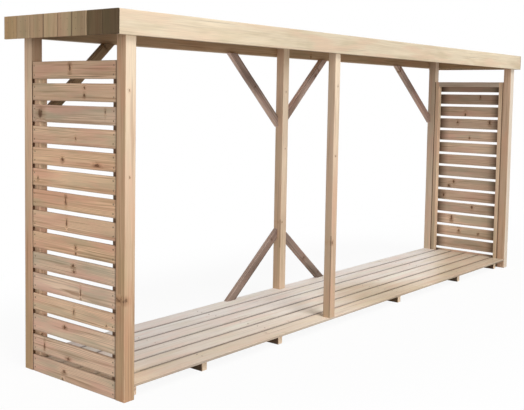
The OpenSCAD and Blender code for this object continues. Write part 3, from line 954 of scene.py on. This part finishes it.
def screw(piece, at, out, grow):
    """One screw head at a point of a face whose outward normal is out."""
    side = out.orthogonal().normalized()
    up = out.cross(side)
    turn = rng.uniform(0, math.pi)
    base = len(piece.verts)
    tone = (0.5, 0.5, rng.random() * RING_BLEACH, 0.0)
    shift = rng.uniform(0, RING_GRAIN_RUN)
    for k, (rad, lift, _) in enumerate(SCREW_RINGS):
        for i in range(SEGMENTS):
            ang = turn + i * 2 * math.pi / SEGMENTS
            lobe = 1.0 if k < RECESS or i % 2 == 0 else LOBE
            x, y = grow * rad * lobe * math.cos(ang), grow * rad * lobe * math.sin(ang)
            piece.point(at + side * x + up * y + out * lift, (shift + x, y, RING_GRAIN_DEPTH), tone)
    for k in range(len(SCREW_RINGS) - 1):
        for i in range(SEGMENTS):
            j = (i + 1) % SEGMENTS
            piece.face([base + k * SEGMENTS + i, base + k * SEGMENTS + j,
                        base + (k + 1) * SEGMENTS + j, base + (k + 1) * SEGMENTS + i],
                       slot=SCREW_RINGS[k + 1][2])
    top = base + (len(SCREW_RINGS) - 1) * SEGMENTS
    piece.face([top + i for i in range(SEGMENTS)], slot=STEEL_SLOT)
    piece.face([base + i for i in range(SEGMENTS)][::-1], slot=BRUISE_AND_SHADE_SLOT)


def screws(name, places, out, grow=1.0):
    """A piece with a screw at each place, a little astray in the face."""
    piece = Pieces()
    for at in places:
        astray = Vector([rng.uniform(-SCREW_ASTRAY, SCREW_ASTRAY) * (1 - abs(o)) for o in out])
        screw(piece, Vector(at) + astray, out, grow)
    settle(piece.build(name, [STEEL, BRUISE_AND_SHADE], SCREW_SMOOTH_BELOW))


def middle(node):
    """Middle of a node's box."""
    lo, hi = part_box(node)
    return (lo + hi) / 2


for side, out in (("left", -X_AXIS), ("right", X_AXIS)):
    spots = []
    ys = [middle(f"{side}_{stile}_stile").y for stile in ("front", "back")]
    for solid in islands(f"{side}_slats"):
        lo, hi = solid.min(0), solid.max(0)
        face = lo[0] if out.x < 0 else hi[0]
        spots += [(face, y, lo[2] + (hi[2] - lo[2]) * f) for y in ys for f in SLAT_PAIR]
    screws(f"{side}_slat_screws", spots, out)
    spots = []
    zs = (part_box(f"{side}_end_rail")[0].z + RAIL_SCREW_UP, middle("roof_joists").z)
    for solid in islands(f"{side}_end_boards"):
        lo, hi = solid.min(0), solid.max(0)
        face = lo[0] if out.x < 0 else hi[0]
        spots += [(face, lo[1] + (hi[1] - lo[1]) * f, z) for f in END_PAIR for z in zs]
    screws(f"{side}_end_board_screws", spots, out, END_BOARD_GROW)

spots = []
for board in FLOOR_BOARDS:
    lo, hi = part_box(board)
    for bearer in BEARERS:
        b_lo, b_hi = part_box(bearer)
        y0, y1 = max(lo.y, b_lo.y), min(hi.y, b_hi.y)
        spots += [(middle(bearer).x, y0 + (y1 - y0) * f, hi.z) for f in FLOOR_PAIR]
screws("floor_screws", spots, Z_AXIS)
spots = []
for board in islands("roof_boards"):
    lo, hi = board.min(0), board.max(0)
    for joist in islands("roof_joists"):
        x = (joist[:, 0].min() + joist[:, 0].max()) / 2
        spots += [(x, lo[1] + (hi[1] - lo[1]) * f, hi[2]) for f in ROOF_PAIR]
screws("roof_screws", spots, Z_AXIS)


# Stage: pale floor, white surround, soft light

STAGE_HALF, STAGE_DROP = 60.0, 0.0005
STAGE_LIT, STAGE_DULL = (0.95, 0.95, 0.95, 1), (0.60, 0.60, 0.60, 1)
SHADOW_SQUEEZE = (0.36, 1.0, 0.0)      # makes the faint shadow's ground a long oval
SHADOW_NEAR, SHADOW_FAR, SHADOW_SHARE = 0.9, 2.6, 0.08
WORLD_STRENGTH = 0.30
# Direction that each lamp shines from, its strength and its width in degrees
SUNS = {
    "key": ((-0.15, -0.60, 0.79), 1.95, 30),
    "front": ((-0.25, -0.95, 0.05), 1.20, 22),
    "side": ((-0.85, -0.52, 0.10), 0.45, 50),
}


def backdrop_floor():
    """Floor that shows white with a faint shadow, and bounces a modest light."""
    s = Nodes(bpy.data.materials.new("stage_floor"))
    white = s.node("ShaderNodeEmission", Color=WHITE, Strength=1.0)
    lit = s.node("ShaderNodeBsdfDiffuse", Color=STAGE_LIT)
    dull = s.node("ShaderNodeBsdfDiffuse", Color=STAGE_DULL)
    place = s.node("ShaderNodeTexCoord").outputs["Object"]
    far = s.vec("LENGTH", s.vec("MULTIPLY", place, SHADOW_SQUEEZE))
    share = s.span(far, SHADOW_NEAR, SHADOW_FAR, SHADOW_SHARE, 0.0)
    shown = s.either(share, white.outputs[0], lit.outputs[0])
    return s.output("ShaderNodeOutputMaterial", s.either(s.seen(), dull.outputs[0], shown))


mesh = bpy.data.meshes.new("stage_floor")
mesh.from_pydata([(x * STAGE_HALF, y * STAGE_HALF, 0) for x, y in ((-1, -1), (1, -1), (1, 1), (-1, 1))], [],
                 [(0, 1, 2, 3)])
mesh.materials.append(backdrop_floor())
ground = bpy.data.objects.new("stage_floor", mesh)
ground.location.z = -STAGE_DROP
bpy.context.scene.collection.objects.link(ground)

world = bpy.data.worlds.new("studio")
bpy.context.scene.world = world
s = Nodes(world)
soft = s.node("ShaderNodeBackground", Color=WHITE, Strength=WORLD_STRENGTH)
white = s.node("ShaderNodeBackground", Color=WHITE, Strength=1.0)
s.output("ShaderNodeOutputWorld", s.either(s.seen(), soft.outputs[0], white.outputs[0]))

for name, (towards, strength, angle) in SUNS.items():
    lamp = bpy.data.lights.new(name, "SUN")
    lamp.energy = strength
    lamp.angle = math.radians(angle)
    obj = bpy.data.objects.new(name, lamp)
    obj.rotation_mode = "QUATERNION"
    obj.rotation_quaternion = Vector(towards).to_track_quat("Z", "Y")
    bpy.context.scene.collection.objects.link(obj)


# Camera

forward = Vector((math.sin(YAW) * math.cos(PITCH), math.cos(YAW) * math.cos(PITCH), -math.sin(PITCH)))
level = Vector((math.cos(YAW), -math.sin(YAW), 0))
upright = level.cross(forward)
right = level * math.cos(ROLL) + upright * math.sin(ROLL)
up = upright * math.cos(ROLL) - level * math.sin(ROLL)
lens = bpy.data.cameras.new("camera")
lens.sensor_fit = "HORIZONTAL"
lens.sensor_width = SENSOR_W
lens.lens = SENSOR_W * FOCAL_PX / IMAGE_W
lens.shift_y = (CENTRE_Y_PX - IMAGE_H / 2) / IMAGE_W
lens.clip_end = CAMERA_REACH
camera = bpy.data.objects.new("camera", lens)
camera.matrix_world = Matrix((
    (right.x, up.x, -forward.x, CAMERA_AT[0]),
    (right.y, up.y, -forward.y, CAMERA_AT[1]),
    (right.z, up.z, -forward.z, CAMERA_AT[2]),
    (0, 0, 0, 1)))
bpy.context.scene.collection.objects.link(camera)
bpy.context.scene.camera = camera
bpy.context.scene.view_settings.view_transform = "Standard"
